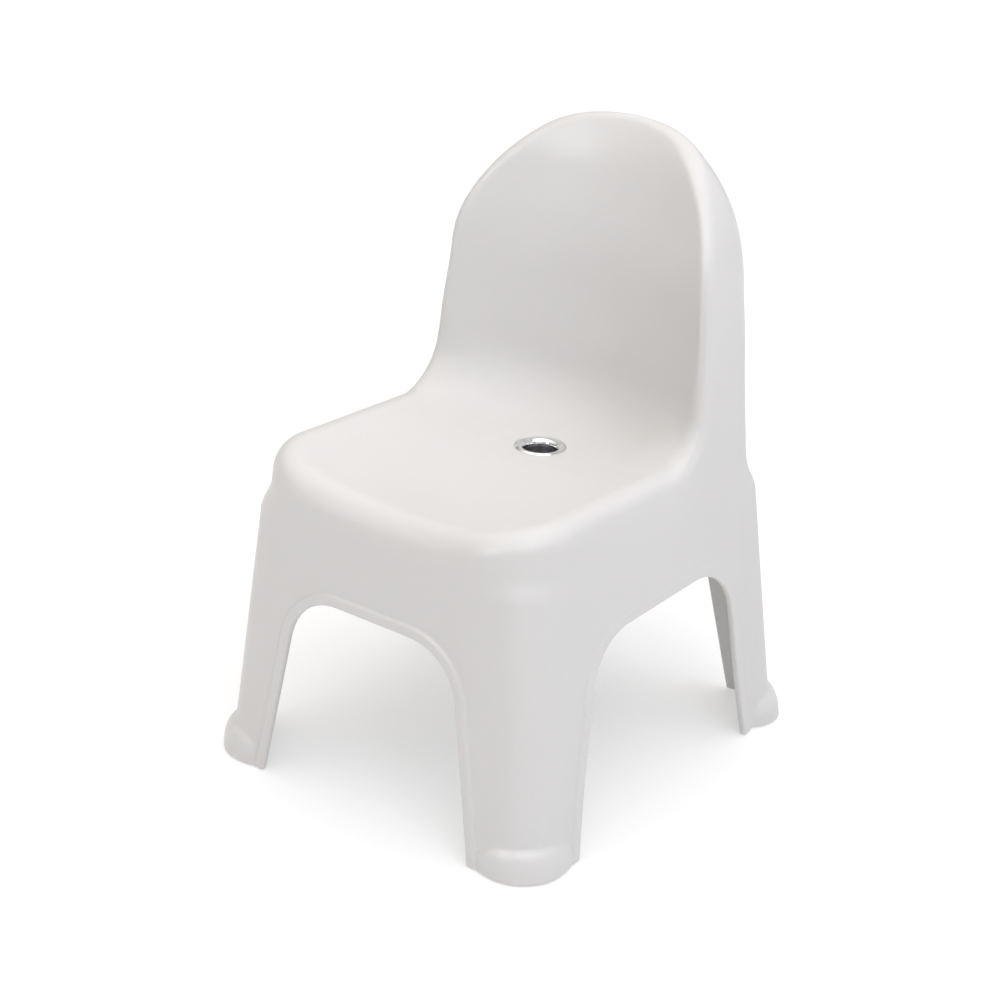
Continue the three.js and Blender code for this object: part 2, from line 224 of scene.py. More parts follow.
class Opening:
    """Half of an opening, as points (t, z): t runs from its middle towards the leg. Its corner is an
    arc about (cx, cz)."""

    def __init__(self, half, taper, top, r, middle, shift=0.0):
        self.tilt = math.atan(taper)
        self.taper, self.half, self.r = taper, half, r
        self.middle, self.shift = middle, shift
        self.cz = top - r
        self.cx = half - taper * self.cz - r / math.cos(self.tilt)
        self.shoulder = self.cz + (r + STRIP) * math.sin(EIGHTH)

    def middle_at(self, z):
        """Where its middle lies along the wall: a little further forward near the floor."""
        return self.middle - self.shift * (1 - smoothstep(*SHIFT_SPAN, z))

    def side(self, z):
        """A point of the strip's outer line at height z, up to its shoulder, and the direction
        across the strip there."""
        big = self.r + STRIP
        foot = self.cz + big * math.sin(self.tilt)
        straight = self.half - self.taper * z + STRIP / math.cos(self.tilt)
        arc = self.cx + np.sqrt(np.maximum(big**2 - (z - self.cz) ** 2, 0))
        on_arc = z > foot
        turn = np.where(
            on_arc,
            np.arcsin(np.clip((z - self.cz) / big, -1, 1)),
            self.tilt * (z - FLOOR) / (foot - FLOOR),
        )
        return np.where(on_arc, arc, straight), z, turn

    def top(self, n):
        """Points of the strip's outer line from its shoulder to the middle."""
        big = self.r + STRIP
        bend = big * EIGHTH
        length = np.linspace(0, bend + self.cx, n + 1)
        turn = np.minimum(EIGHTH + length / big, math.pi / 2)
        t = self.cx + big * np.cos(turn) - np.maximum(length - bend, 0)
        return t, self.cz + big * np.sin(turn), turn

    def across(self, t, z, turn, d):
        """Moves from the strip's outer line to distance d from the opening's edge."""
        on_arc = turn >= self.tilt
        run = (STRIP - d) / np.where(on_arc, 1, np.cos(self.tilt - turn))
        return t - run * np.cos(turn), z - run * np.sin(turn)


openings = {name: Opening(**sizes) for name, sizes in OPENINGS.items()}


def wall_point(kind, t, z, sign=1):
    """A first guess of the point of a wall over (t, z) of one of its openings."""
    if kind == "front":
        return np.stack([t, front_y(z) - OUTSIDE, z], -1)
    if kind == "rear":
        return np.stack([t, rear_y(z) + OUTSIDE, z], -1)
    return np.stack([half_width(z) + OUTSIDE, openings["side"].middle_at(z) + sign * t, z], -1)


def across_axes(kind):
    """The axis along which a wall's points are moved onto it."""
    return "x" if kind == "side" else "y"


def edge_drop(d, r):
    """How far a rounded edge of radius r falls away at distance d from its end."""
    return r - np.sqrt(np.maximum(r * r - np.maximum(r - d, 0) ** 2, 0))


def lip(kind, z, d):
    """How far the band round an opening stands proud. It fades over the side openings' tops."""
    band = LIP_PROUD * (1 - smoothstep(*LIP_SPAN, d))
    if kind == "side":
        band = band * (1 - SIDE_LIP_FADE * smoothstep(*SIDE_LIP_SPAN, z))
    return band


def foot_drop(z):
    """How far the rounded edge of a leg's foot falls away."""
    return edge_drop(z - FLOOR, FOOT_EDGE_R)


# ---- Rows of the mesh ----
# A leg's rows over its foot, close together where the foot's edge and the toe's top are round
LEG_STEPS = [0, 0.12, 0.4, 0.9, 1.7, 2.8, 4.2, 5.8, 7.4, 9, 10.6, 12.2, 13.8, 15.4, 16.9, 18.3]
LEG_STEPS += [19.6, 20.8, 21.8, 22.7, 23.5, 24.2, 24.8, 25.3, 25.8, 26.4, 27.2, 28.3, 29.8, 32]
LEG_STEPS += [35, 39, 44, 50, 57, 65, 73, 81, 89, 97, 104, 110, 115]
# A strip's rows, as distances from the opening's edge, close at the lip's flank and at the edge
ACROSS = [10, 8.8, 8.1, 7.6, 7.3, 7, 6.7, 6.4, 6.1, 5.8, 5, 3.8, 2.6, 1.8, 1.25, 0.85, 0.5, 0.22, 0]
# Columns of each stretch, from the middle of the front to the middle of the rear
N_FRONT, N_LEG, N_SIDE, N_REAR_LEG, N_REAR = 16, 24, 40, 28, 16
BELT = 150.0  # the height of the first row that is level all round
# Rows from the legs to the belt, on to the band below the rim, to the rim, and in to the drain
BELT_ROWS, WALL_ROWS, BAND_ROWS, TOP_ROWS, TOP_POWER = 6, 26, 18, 56, 1.6


def leg_levels(shoulder):
    """The heights of a leg's rows beside an opening, up to its shoulder."""
    return FLOOR + np.array(LEG_STEPS + [shoulder - FLOOR])


def corner_point(e, z, front):
    """The walls' outline at distance e along it from a corner's middle."""
    r = FRONT_R if front else REAR_R
    reach = r * EIGHTH
    turn = np.clip(e / r + EIGHTH, 0, math.pi / 2)
    x = half_width(z) - r + r * np.sin(turn) + np.minimum(e + reach, 0)
    inward = r - r * np.cos(turn) + np.maximum(e - reach, 0)
    y = front_y(z) + inward if front else rear_y(z) - inward
    return np.stack([x, y, z], -1)


def corner_distance(kind, t, z, front):
    """The same distance e, from a point (t, z) of an opening's strip."""
    r = FRONT_R if front else REAR_R
    reach = r * EIGHTH
    if kind == "side":
        y = openings["side"].middle_at(z) + (-t if front else t)
        d = (front_y(z) + r - y) if front else (y - rear_y(z) + r)
        return np.where(d > 0, r * np.arccos(np.clip(d / r, 0, 1)) - reach, reach - d)
    d = t - half_width(z) + r
    return np.where(d > 0, r * np.arcsin(np.clip(d / r, 0, 1)) - reach, -reach + d)


def leg_grid(inset, front):
    """A leg's outer (inset 0) or inner skin: rows up, columns from the end opening to the side."""
    end, columns, sign = ("front", N_LEG, -1) if front else ("rear", N_REAR_LEG, 1)
    end_z, side_z = leg_levels(openings[end].shoulder), leg_levels(openings["side"].shoulder)
    end_t, side_t = openings[end].side(end_z)[0], openings["side"].side(side_z)[0]
    end_e = corner_distance(end, end_t, end_z, front)
    side_e = corner_distance("side", side_t, side_z, front)
    share = np.linspace(0, 1, columns + 1)
    e = lerp(end_e[:, None], side_e[:, None], share)
    z = lerp(end_z[:, None], side_z[:, None], share)
    drop = foot_drop(z)
    value = -drop if inset == 0 else -inset + drop
    grid = snap(corner_point(e, z, front), value, "xy")
    grid[:, 0] = snap(wall_point(end, end_t, end_z), value[:, 0], across_axes(end))
    grid[:, -1] = snap(wall_point("side", side_t, side_z, sign), value[:, -1], "x")
    return grid


def strip_grid(kind, t, z, turn, inset, sign):
    """The strip beside an opening's edge: one row for each distance across it."""
    rows = []
    opening = openings[kind]
    for d in ACROSS:
        td, zd = opening.across(t, z, turn, d)
        drop = np.maximum(edge_drop(d, OPENING_EDGE_R), foot_drop(zd))
        value = lip(kind, zd, d) - drop if inset == 0 else -inset + drop
        rows.append(snap(wall_point(kind, td, zd, sign), value, across_axes(kind)))
    return np.array(rows)


# ---- The rim, from the middle of the front to the top of the back ----
# At the side walls, the seat's line and the back's meet at the join, rounded by the back's fillet
BACK_ANGLE = math.pi / 2 - math.atan(BACK_LEAN)
JOIN_Y = float(back_y(SEAT_HALF_WIDTH, SEAT_HEIGHT + SEAT_DISH))
JOIN_Z = float(seat_z(SEAT_HALF_WIDTH, JOIN_Y))
FILLET_REACH = BACK_FILLET * math.tan(BACK_ANGLE / 2)
BACK_FIRST = JOIN_Z + FILLET_REACH * math.cos(math.atan(BACK_LEAN))
SIDE_START = FRONT_WALL + FRONT_R
FILLET_S = 2 + (JOIN_Y - FILLET_REACH - SIDE_START) / (REAR_WALL - REAR_R - SIDE_START)
LAYOUT = BACK_FOOT - FRONT_WALL  # the seat's depth, which is 1 in layout lengths
DRAIN_Y = 27.5
DRAIN_L = (DRAIN_Y - FRONT_WALL) / LAYOUT
INNER_RING = 22.0  # the radius at which the seat's columns end round the drain
RIM_SAMPLES, RIM_SMOOTHING = 600, 60
FILLET_POINTS, STRAIGHT_POINTS, ARCH_POINTS = 40, 60, 200
ARCH_BLEND = 0.35  # of the arch's turn: there the lines down from the rim become level


def outline(s, z):
    """Half the walls' outline: s from 0, the middle of the front, through the corners at 1 to 2
    and 3 to 4, to 5, the middle of the rear."""
    w, f, r = half_width(z), front_y(z), rear_y(z)
    turn = (s - np.floor(s)) * math.pi / 2
    x = np.select(
        [s < 1, s < 2, s < 3, s < 4],
        [
            (w - FRONT_R) * s,
            w - FRONT_R * (1 - np.sin(turn)),
            w,
            w - REAR_R * (1 - np.cos(turn)),
        ],
        (w - REAR_R) * (5 - s),
    )
    y = np.select(
        [s < 1, s < 2, s < 3, s < 4],
        [
            f,
            f + FRONT_R * (1 - np.cos(turn)),
            lerp(f + FRONT_R, r - REAR_R, s - 2),
            r - REAR_R * (1 - np.sin(turn)),
        ],
        r,
    )
    return x, y


def s_of(kind, t, z):
    """The outline's s at a point (t, z) of an opening's strip."""
    w, f, r = half_width(z), front_y(z), rear_y(z)
    if kind == "side":
        y = openings["side"].middle_at(z) + t
        return 2 + (y - f - FRONT_R) / (r - REAR_R - f - FRONT_R)
    if kind == "front":
        return t / (w - FRONT_R)
    return 5 - t / (w - REAR_R)


def rim_curve():
    """A fine table of the back's rim from the start of its fillet: length, x, y, z, angle, layout
    length. The angle is that of the line down the side wall from the rim, 0 straight down."""
    turn = np.linspace(0, BACK_ANGLE, FILLET_POINTS)
    y = JOIN_Y - FILLET_REACH + BACK_FILLET * np.sin(turn)
    z = JOIN_Z + BACK_FILLET * (1 - np.cos(turn))
    first = np.stack([half_width(z), y, z, turn], -1)
    z = np.linspace(BACK_FIRST, ARCH_START, STRAIGHT_POINTS)[1:]
    x = half_width(z)
    second = np.stack([x, back_y(x, z), z, np.full(z.shape, BACK_ANGLE)], -1)
    turn = np.linspace(0, math.pi / 2, ARCH_POINTS)[1:]
    x = ARCH_HALF * np.maximum(np.cos(turn), 0) ** (2 / ARCH_POWER)
    z = ARCH_START + ARCH_RISE * np.sin(turn) ** (2 / ARCH_POWER)
    angle = lerp(BACK_ANGLE, math.pi / 2, smoothstep(0, ARCH_BLEND, turn))
    third = np.stack([x, back_y(x, z), z, angle], -1)
    rim = np.concatenate([first, second, third])
    length = np.concatenate([[0], np.cumsum(np.linalg.norm(np.diff(rim[:, :3], axis=0), axis=1))])
    seat_end = back_y(rim[:, 0], SEAT_HEIGHT)
    on_seat = (rim[:, 1] - FRONT_WALL) / (seat_end - FRONT_WALL)
    on_back = 1 + (rim[:, 2] - seat_z(rim[:, 0], seat_end)) / LAYOUT
    blend = smoothstep(0, BACK_ANGLE, rim[:, 3])
    return length, rim, lerp(on_seat, on_back, blend)


RIM_LENGTH, RIM, RIM_LAYOUT = rim_curve()
ARCH_LENGTH = float(np.interp(ARCH_START, RIM[FILLET_POINTS:, 2], RIM_LENGTH[FILLET_POINTS:]))
# Where columns meet the rim: s, and the length along the rim from the start of its fillet
RIM_S = [FILLET_S, 2.9, 4.25, 5]
RIM_REACHED = [0, 36, ARCH_LENGTH + 98, RIM_LENGTH[-1]]


def rim_length(s):
    """The length along the rim for each s: the line through RIM_REACHED, with its corners smoothed."""
    table_s = np.linspace(FILLET_S, 5, RIM_SAMPLES)
    raw = np.interp(table_s, RIM_S, RIM_REACHED)
    n = RIM_SMOOTHING
    before, after = 2 * raw[0] - raw[n:0:-1], 2 * raw[-1] - raw[-2:-2 - n:-1]
    kernel = np.hanning(n + 1) / np.hanning(n + 1).sum()
    smooth = np.convolve(np.concatenate([before, raw, after]), kernel, "same")[n:-n]
    return np.interp(s, table_s, smooth)


def rim_at(s):
    """The rim's point, its angle and its layout length, for each s."""
    length = rim_length(s)
    rim = np.stack([np.interp(length, RIM_LENGTH, RIM[:, k]) for k in range(4)], -1)
    layout = np.interp(length, RIM_LENGTH, RIM_LAYOUT)
    x, y = outline(np.minimum(s, FILLET_S), np.full(s.shape, SEAT_HEIGHT))
    seat = np.stack([x, y, seat_z(x, y), np.zeros(s.shape)], -1)
    seat_layout = (y - FRONT_WALL) / (back_y(x, SEAT_HEIGHT) - FRONT_WALL)
    on_seat = s < FILLET_S
    return np.where(on_seat[:, None], seat, rim), np.where(on_seat, seat_layout, layout)


BAND_FOOT = 165.0  # the height at which a column's line straight down from the rim ends
LEAST_ANGLE, FAR = 0.02, 1e6
BAND_BLEND = 0.5  # radians of the rim's angle over which that line leaves the outline


def band_end(s, rim):
    """Where a column's line meets the walls, below or behind its rim point."""
    x, y = outline(s, np.full(s.shape, BAND_FOOT))
    straight = np.stack([x, y, np.full(s.shape, BAND_FOOT)], -1)
    angle = rim[:, 3]
    down = (rim[:, 2] - BAND_FOOT) / np.maximum(np.cos(angle), TINY)
    back = (outline(s, rim[:, 2])[1] - rim[:, 1]) / np.maximum(np.sin(angle), TINY)
    back = np.where(angle > LEAST_ANGLE, np.maximum(back, 1), FAR)
    reach = (down**-3.0 + back**-3.0) ** (-1 / 3)  # about the shorter of the two
    run = np.stack([0 * s, reach * np.sin(angle), -reach * np.cos(angle)], -1)
    return lerp(straight, rim[:, :3] + run, smoothstep(0, BAND_BLEND, angle)[:, None])


def from_layout(x, layout):
    """A point of the seat (layout up to 1) or of the back's face (above 1)."""
    end = back_y(x, SEAT_HEIGHT)
    y = lerp(FRONT_WALL, end, np.minimum(layout, 1))
    z = seat_z(x, end) + (layout - 1) * LAYOUT
    seat = np.stack([x, y, seat_z(x, y)], -1)
    back = np.stack([x, back_y(x, z), z], -1)
    return np.where((layout <= 1)[..., None], seat, back)


def eased(n):
    """Steps from 0 to 1 that are short at both ends."""
    return 0.5 - 0.5 * np.cos(np.linspace(0, math.pi, n + 1))


def opening_tops(kind, n):
    """The (t, z) points along an opening's top, in the order of the columns."""
    if kind == "side":
        t, z, _ = openings[kind].top(n // 2)
        return np.concatenate([-t, t[-2::-1]]), np.concatenate([z, z[-2::-1]])
    t, z, _ = openings[kind].top(n)
    return (t[::-1], z[::-1]) if kind == "front" else (t, z)


def leg_s(points, front):
    """The outline's s at a leg's top row, from its end opening to the side."""
    radius = FRONT_R if front else REAR_R
    reach = radius * EIGHTH
    e = from_corner(points[:, 0], points[:, 1], points[:, 2])
    w, f, r = half_width(points[:, 2]), front_y(points[:, 2]), rear_y(points[:, 2])
    corner, turn = (1.5, 1) if front else (3.5, -1)
    on_end = corner - turn * 0.5 + turn * (e + reach) / (w - radius)
    on_side = corner + turn * 0.5 + turn * (e - reach) / (r - REAR_R - f - FRONT_R)
    s = np.where(e < -reach, on_end, corner + turn * e / (2 * reach))
    return np.where(e > reach, on_side, s)


def upper_grid(inset, legs):
    """From the openings' tops up the walls, over the rim and in to a ring round the drain."""
    value = -float(inset)
    tops, tops_s = [], []
    for kind, n in (("front", N_FRONT), ("side", N_SIDE), ("rear", N_REAR)):
        t, z = opening_tops(kind, n)
        tops.append(snap(wall_point(kind, t, z), value, across_axes(kind)))
        tops_s.append(s_of(kind, t, z))
    front_leg, rear_leg = legs[0][-1], legs[1][-1]
    front_s, rear_s = leg_s(front_leg, True), leg_s(rear_leg, False)
    row0 = np.concatenate([tops[0], front_leg[1:], tops[1][1:], rear_leg[-2::-1], tops[2][1:]])
    s = np.concatenate([tops_s[0], front_s[1:-1], tops_s[1], rear_s[-2:0:-1], tops_s[2]])
    s[0], s[-1] = 0, 5
    belt = np.stack([*outline(s, np.full(s.shape, BELT)), np.full(s.shape, BELT)], -1)
    rows = [row0]
    for i in range(1, BELT_ROWS + 1):
        rows.append(snap(lerp(row0, belt, i / BELT_ROWS), value, "xy"))
    rim, layout = rim_at(s)
    end = band_end(s, rim)
    for t in eased(WALL_ROWS)[1:]:
        rows.append(snap(lerp(belt, end, t), value))
    for t in eased(BAND_ROWS)[1:]:
        rows.append(snap(lerp(end, rim[:, :3], t), value))
    reach = np.hypot(rim[:, 0], (layout - DRAIN_L) * LAYOUT)
    for i in range(1, TOP_ROWS + 1):
        t = 1 - (i / TOP_ROWS) ** TOP_POWER * (1 - INNER_RING / reach)
        rows.append(snap(from_layout(rim[:, 0] * t, lerp(DRAIN_L, layout, t)), value))
    grid = np.array(rows)
    grid[:, [0, -1], 0] = 0
    return grid


# ---- The drain's seat in the shell, in the drain's own frame: 0 at the seat's surface ----
DRAIN_TILT = -math.atan(SEAT_SLOPE)
DRAIN_Z = float(seat_z(0.0, DRAIN_Y))
FLANGE_R, FLANGE_H, BORE_R, BARREL_R, BARREL_L = 15.5, 1.4, 10.2, 11.8, 9.0
RECESS, GAP, BOSS_R, BOSS_H, THROAT_R = 0.8, 0.3, 19.0, 1.6, 3.7
RETAINER_R, RETAINER_H = 17.0, 1.5
RING_SEGMENTS, RETAINER_SEGMENTS = 96, 72
DRAIN_FRAME = Matrix.Translation((0, DRAIN_Y, DRAIN_Z)) @ Matrix.Rotation(DRAIN_TILT, 4, "X")
# Rings of the seat round the recess, as how much wider than it and how far below the seat's surface
MOUTH_EDGE = [(4.2, 0), (2.6, 0), (1.5, 0), (0.8, 0), (0.45, 0.02), (0.2, 0.1), (0.07, 0.22), (0, 0.4)]


def in_drain(points):
    """Points of the drain's frame, in the chair's."""
    m = np.array(DRAIN_FRAME)
    return points @ m[:3, :3].T + m[:3, 3]


def drain_rings(outer_last, inner_last):
    """Rings from the outer skin's last row down into the recess, through the hole, round the boss
    and back to the inner skin's last row."""
    turn = np.arctan2(outer_last[:, 1] - DRAIN_Y, outer_last[:, 0])

    def ring(r, h):
        return in_drain(np.stack([r * np.cos(turn), r * np.sin(turn), np.full(turn.shape, h)], -1))

    mouth, hole = FLANGE_R + GAP, BARREL_R + GAP
    ledge, under = -RECESS, -WALL - BOSS_H
    rows = [outer_last]
    for wider, drop in MOUTH_EDGE:
        rows.append(snap(ring(mouth + wider, 0.0), -drop, "z"))
    in_recess = [(mouth, ledge + 0.1), (mouth - 0.1, ledge), (14.0, ledge), (hole + 0.2, ledge)]
    in_hole = [(hole, ledge - 0.2), (hole, under + 0.25), (hole + 0.25, under)]
    on_boss = [(15.5, under), (BOSS_R - 0.4, under), (BOSS_R, under + 0.4)]
    rows += [ring(r, h) for r, h in in_recess + in_hole + on_boss]
    rows.append(snap(ring(BOSS_R, -WALL), -WALL, "z"))
    rows.append(inner_last)
    return np.array(rows)


# ---- Mesh assembly ----
MERGE_STEPS = 2000  # in each mm: points on the same step are one point


class Patches:
    """Collects quad grids and their mirror images, and merges them into one mesh."""

    def __init__(self):
        self.points, self.faces, self.count = [], [], 0

    def add(self, grid, flip=False):
        """Faces point along the columns' direction crossed with the rows', or the other way."""
        rows, cols = grid.shape[:2]
        index = np.arange(rows * cols).reshape(rows, cols)
        quads = np.stack([index[:-1, :-1], index[:-1, 1:], index[1:, 1:], index[1:, :-1]], -1)
        p, q = grid.reshape(-1, 3), quads.reshape(-1, 4)
        q = q[:, ::-1] if flip else q
        for points, faces in ((p, q), (p * (-1, 1, 1), q[:, ::-1])):
            self.points.append(points)
            self.faces.append(faces + self.count)
            self.count += len(points)

    def mesh(self, name):
        points, faces = np.concatenate(self.points), np.concatenate(self.faces)
        keys = np.round(points * MERGE_STEPS).astype(np.int64)
        _, first, inverse = np.unique(keys, axis=0, return_index=True, return_inverse=True)
        corners = [tuple(dict.fromkeys(face)) for face in inverse.reshape(-1)[faces].tolist()]
        mesh = bpy.data.meshes.new(name)
        mesh.from_pydata((points[first] * MM).tolist(), [], [c for c in corners if len(c) > 2])
        return mesh


# Each strip's opening, the columns over its top, its side of the opening, and whether it is flipped
STRIPS = (
    ("front", N_FRONT, 1, False), ("rear", N_REAR, 1, True),
    ("side", N_SIDE // 2, -1, True), ("side", N_SIDE // 2, 1, False),
)


def skin(inset):
    """Half the shell's outer (inset 0) or inner skin: two legs, the upper part and the strips."""
    legs = (leg_grid(inset, True), leg_grid(inset, False))
    strips = []
    for kind, n, sign, _ in STRIPS:
        opening = openings[kind]
        sides, tops = opening.side(leg_levels(opening.shoulder)), opening.top(n)
        t, z, turn = (np.concatenate([a, b[1:]]) for a, b in zip(sides, tops))
        strips.append(strip_grid(kind, t, z, turn, inset, sign))
    return legs, upper_grid(inset, legs), strips


def build_shell():
    """One closed mesh. The outer skin's faces point out, and the inner skin's into the hollow."""
    patches = Patches()
    outer, inner = skin(0), skin(WALL)
    for (legs, upper, strips), inside in ((outer, False), (inner, True)):
        patches.add(legs[0], flip=inside)
        patches.add(legs[1], flip=not inside)
        patches.add(upper, flip=inside)
        for grid, (*_, flip) in zip(strips, STRIPS):
            patches.add(grid, flip=flip != inside)
    for a, b, (*_, flip) in zip(outer[2], inner[2], STRIPS):  # an opening's edge, and its foot
        patches.add(np.stack([a[-1], b[-1]]), flip)
        patches.add(np.stack([a[:, 0], b[:, 0]]), flip)
    for a, b, flip in zip(outer[0], inner[0], (True, False)):  # the legs' feet
        patches.add(np.stack([a[0], b[0]]), flip)
    patches.add(drain_rings(outer[1][-1], inner[1][-1]))
    return patches.mesh("shell")


def turned(name, corners, segments):
    """A closed ring turned about the drain's axis from its section's corners, as (radius, height)."""
    turn = np.linspace(0, 2 * math.pi, segments, endpoint=False)
    r, h = np.array(corners, float).T[..., None]
    points = np.stack([r * np.cos(turn), r * np.sin(turn), h + 0 * turn], -1)
    points = in_drain(points.reshape(-1, 3)) * MM
    faces = []
    for i in range(len(corners)):
        row, above = i * segments, (i + 1) % len(corners) * segments
        for j in range(segments):
            k = (j + 1) % segments
            faces.append((row + j, row + k, above + k, above + j))
    mesh = bpy.data.meshes.new(name)
    mesh.from_pydata(points.tolist(), [], faces)
    return mesh


def arc(cr, ch, r, start, end, n):
    """Section points on an arc, in degrees, about (cr, ch)."""
    return [
        (cr + r * math.cos(math.radians(a)), ch + r * math.sin(math.radians(a)))
        for a in np.linspace(start, end, n)
    ]


def add_piece(name, mesh, material, node, sharp):
    """A piece that stands for a CAD node. Edges that turn more than `sharp` degrees stay sharp."""
    piece = bpy.data.objects.new(name, mesh)
    bpy.context.scene.collection.objects.link(piece)
    mesh.materials.append(material)
    mesh.shade_smooth()
    mesh.set_sharp_from_angle(angle=math.radians(sharp))
    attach(piece, "root")
    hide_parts(node)


# ---- Materials, in metres. Each pair of colours is a surface's two tones ----
PLASTIC_TONES = (0.622, 0.612, 0.6), (0.628, 0.619, 0.608)
CHROME_TONES = (0.72, 0.73, 0.74), (0.82, 0.83, 0.84)
STEEL_TONES = (0.45, 0.46, 0.47), (0.6, 0.61, 0.62)
RUBBER_TONES = (0.6, 0.585, 0.55), (0.68, 0.665, 0.63)
FLOOR_TONES = (0.55, 0.55, 0.55), (0.56, 0.56, 0.56)
# Painted shade: the ring's barrel is painted dark down the bore, fully dark below the first height and
# fading out by the second
BORE_SHADE_COLOUR = (0.1, 0.1, 0.105)
BORE_SHADE_FULL_Z, BORE_SHADE_END_Z = (DRAIN_Z - 4.2) * MM, (DRAIN_Z - 2.4) * MM
DULL_FROM_SPAN, DULL_TO_SPAN = (0.02, 0.05), (0.23, 0.29)  # back from the drain, up to the back


class Nodes:
    """A material's node tree, built step by step."""

    def __init__(self, name):
        self.material = bpy.data.materials.new(name)
        self.material.use_nodes = True
        self.tree = self.material.node_tree
        self.shader = self.tree.nodes["Principled BSDF"]
        self.place = self.add("ShaderNodeTexCoord").outputs["Object"]

    def add(self, kind, **inputs):
        node = self.tree.nodes.new(kind)
        for key, value in inputs.items():
            self.put(node.inputs[key.replace("_", " ")], value)
        return node

    def put(self, socket, value):
        if isinstance(value, bpy.types.NodeSocket):
            self.tree.links.new(value, socket)
        else:
            socket.default_value = value

    def noise(self, scale, detail, roughness=0.5):
        node = self.add("ShaderNodeTexNoise", Vector=self.place, Scale=scale, Detail=detail)
        node.inputs["Roughness"].default_value = roughness
        return node.outputs["Fac"]

    def ramp(self, value, low, high, start=0.0, end=1.0):
        """`low` where the value is at `start`, `high` where it is at `end`, and flat beyond."""
        node = self.add("ShaderNodeMapRange", Value=value)
        ends = {"From Min": start, "From Max": end, "To Min": low, "To Max": high}
        for key, number in ends.items():
            node.inputs[key].default_value = number
        return node.outputs["Result"]

    def along(self, axis):
        """The place of each point along one axis of its piece, in metres."""
        return self.add("ShaderNodeSeparateXYZ", Vector=self.place).outputs[axis]

    def mix(self, share, a, b):
        node = self.tree.nodes.new("ShaderNodeMix")
        node.data_type = "RGBA"
        self.put(node.inputs["Factor"], share)
        for key, value in (("A", a), ("B", b)):
            self.put(node.inputs[key], (*value, 1) if isinstance(value, tuple) else value)
        return node.outputs["Result"]

    def math(self, operation, a, b):
        node = self.tree.nodes.new("ShaderNodeMath")
        node.operation = operation
        self.put(node.inputs[0], a)
        self.put(node.inputs[1], b)
        return node.outputs[0]

    def bump(self, height, strength, distance):
        node = self.add("ShaderNodeBump", Height=height)
        node.inputs["Strength"].default_value = strength
        node.inputs["Distance"].default_value = distance
        return node.outputs["Normal"]

    def finish(self, **sockets):
        for key, value in sockets.items():
            self.put(self.shader.inputs[key.replace("_", " ")], value)
        return self.material


def plastic():
    n = Nodes("moulded_plastic")
    cloud, flow, grain = n.noise(14, 2), n.noise(60, 2), n.noise(2600, 2)
    colour = n.mix(n.ramp(cloud, 0, 1, 0.3, 0.7), *PLASTIC_TONES)
    rough = n.math("ADD", n.ramp(flow, 0.31, 0.37, 0.3, 0.7), n.ramp(grain, -0.02, 0.02))
    behind = n.ramp(n.along("Y"), 0, 0.2, *DULL_FROM_SPAN)
    below = n.ramp(n.along("Z"), 1, 0, *DULL_TO_SPAN)
    rough = n.math("ADD", rough, n.math("MULTIPLY", behind, below))  # less polish where they join
    height = n.math("ADD", grain, n.ramp(flow, 0, 1.2))
    return n.finish(
        Base_Color=colour, Roughness=rough, Normal=n.bump(height, 0.12, 0.00012), IOR=1.49,
        Subsurface_Weight=0.12, Subsurface_Radius=(0.004, 0.003, 0.0024), Subsurface_Scale=1.0,
    )


def chrome():
    n = Nodes("polished_chrome")
    smudge, fine = n.noise(180, 3), n.noise(1400, 2)
    colour = n.mix(n.ramp(smudge, 0, 1, 0.35, 0.7), *CHROME_TONES)
    rough = n.math("ADD", n.ramp(smudge, 0.05, 0.13, 0.35, 0.7), n.ramp(fine, 0, 0.03))
    bore_unshaded = n.ramp(n.along("Z"), 0, 1, BORE_SHADE_FULL_Z, BORE_SHADE_END_Z)
    colour = n.mix(bore_unshaded, BORE_SHADE_COLOUR, colour)  # painted shade: the barrel's colour darkens down the bore
    rough = n.math("ADD", rough, n.ramp(bore_unshaded, 0.25, 0))
    return n.finish(Base_Color=colour, Metallic=1.0, Roughness=rough, Normal=n.bump(fine, 0.04, 0.0001))


def steel():
    n = Nodes("zinc_plated_steel")
    spangle, fine = n.noise(240, 4, 0.65), n.noise(2200, 2)
    colour = n.mix(n.ramp(spangle, 0, 1, 0.35, 0.65), *STEEL_TONES)
    rough = n.ramp(spangle, 0.32, 0.5, 0.3, 0.7)
    return n.finish(Base_Color=colour, Metallic=1.0, Roughness=rough, Normal=n.bump(fine, 0.1, 0.0001))


def rubber():
    n = Nodes("soft_rubber")
    dust, fine = n.noise(90, 4), n.noise(3200, 2)
    colour = n.mix(n.ramp(dust, 0, 1, 0.35, 0.7), *RUBBER_TONES)
    return n.finish(
        Base_Color=colour, Roughness=n.ramp(dust, 0.68, 0.84, 0.3, 0.7),
        Normal=n.bump(fine, 0.2, 0.00015),
    )


def floor_paint():
    n = Nodes("studio_floor")
    tone = n.ramp(n.noise(3, 2), 0.0, 1.0, 0.3, 0.7)
    return n.finish(
        Base_Color=n.mix(tone, *FLOOR_TONES), Roughness=0.9,
        Emission_Color=(1, 1, 1, 1), Emission_Strength=0.4,
    )


def ring_section():
    """A rolled flange that dips to its edge, a rounded throat and a plain barrel."""
    bottom, crown = GAP - RECESS, GAP - RECESS + FLANGE_H
    edge_r, roll_r, roll_in = 0.35, 1.1, 1.6
    barrel_end = [(BORE_R + 0.25, -BARREL_L), (BARREL_R - 0.3, -BARREL_L), (BARREL_R, -BARREL_L + 0.3)]
    under_flange = [(BARREL_R, bottom - 0.15), (BARREL_R + 0.15, bottom)]
    edge = arc(FLANGE_R - edge_r, bottom + edge_r, edge_r, -90, 20, 5)
    roll = arc(FLANGE_R - roll_in, crown - roll_r, roll_r, 30, 90, 6)
    throat = arc(BORE_R + THROAT_R, crown - THROAT_R, THROAT_R, 90, 180, 16)[1:]
    bore = [(BORE_R, -4.0), (BORE_R, -BARREL_L + 0.25)]
    return barrel_end + under_flange + edge + roll + throat + bore


